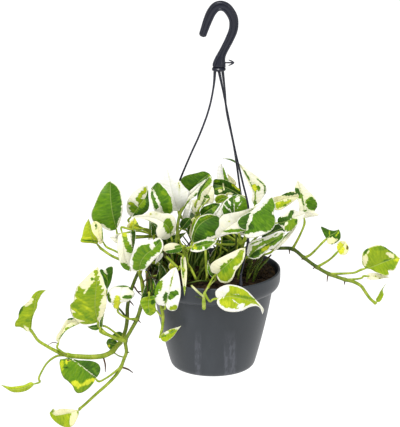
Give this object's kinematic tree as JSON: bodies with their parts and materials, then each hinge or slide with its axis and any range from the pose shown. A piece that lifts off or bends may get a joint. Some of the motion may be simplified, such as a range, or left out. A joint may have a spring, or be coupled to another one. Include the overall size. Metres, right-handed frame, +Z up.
{
  "type": "potted pothos plant",
  "caption": "Variegated trailing pothos with heart-shaped green, lime and cream leaves in a dark plastic hanging pot with a moulded hook and strands.",
  "frame": {"origin": "the seat inside the top of the hook, where the pot hangs", "axes": "+Z up; the picture is seen from -Y; +X to the picture's right"},
  "size_m": [0.4452, 0.1829, 0.4795],
  "materials": {
    "pot_plastic": "satin",
    "hanger_plastic": "satin",
    "soil": "matte",
    "stem": "satin",
    "leaf_green": "satin",
    "leaf_lime": "satin",
    "leaf_white": "satin"
  },
  "bodies": {
    "root": {"pot": "pot_plastic", "soil": "soil", "hanger_hook": "hanger_plastic", "strand_left": "hanger_plastic", "strand_front": "hanger_plastic", "strand_back": "hanger_plastic", "vine_left_low": "stem", "vine_left_out": "stem", "vine_right": "stem", "shoot_front": "stem", "shoot_hanging": "stem", "crown_left": "stem", "crown_front": "stem", "crown_right": "stem", "crown_back": "stem", "leaf_upper_left": "leaf_green", "leaf_far_left": "leaf_lime", "leaf_left_rolled": "leaf_white", "leaf_left_droop": "leaf_white", "leaf_left_spotted": "leaf_lime", "leaf_two_patch": "leaf_green", "leaf_white_tall": "leaf_white", "leaf_back_dark": "leaf_green", "leaf_white_star": "leaf_white", "leaf_front_left": "leaf_green", "leaf_cream_low": "leaf_white", "leaf_hanging_white": "leaf_white", "leaf_lime_lobed": "leaf_lime", "leaf_front_lime": "leaf_lime", "leaf_front_cream": "leaf_lime", "leaf_centre_green": "leaf_green", "leaf_centre_low": "leaf_green", "leaf_centre_upper": "leaf_green", "leaf_centre_white": "leaf_white", "leaf_right_pointed": "leaf_green", "leaf_right_front_long": "leaf_green", "leaf_right_white_up": "leaf_white", "leaf_right_yellow": "leaf_lime", "leaf_right_mid": "leaf_white", "leaf_right_top": "leaf_white", "leaf_back_tall": "leaf_white", "leaf_back_flat": "leaf_green", "leaf_vine_right_folded": "leaf_green", "leaf_vine_right_yellow": "leaf_lime", "leaf_vine_right_big": "leaf_green", "leaf_vine_right_end": "leaf_lime", "leaf_vine_left_big": "leaf_lime", "leaf_vine_left_striped": "leaf_green", "leaf_vine_left_arched": "leaf_white", "leaf_vine_left_end": "leaf_lime", "leaf_vine_left_narrow": "leaf_white", "leaf_vine_left_curl": "leaf_green", "leaf_vine_left_patch": "leaf_green", "leaf_vine_low_end": "leaf_lime", "leaf_vine_rolled": "leaf_lime", "leaf_shoot_small": "leaf_lime", "leaf_rear_left": "leaf_green", "leaf_rear_centre": "leaf_white", "leaf_rear_right": "leaf_green"}
  },
  "joints": []
}
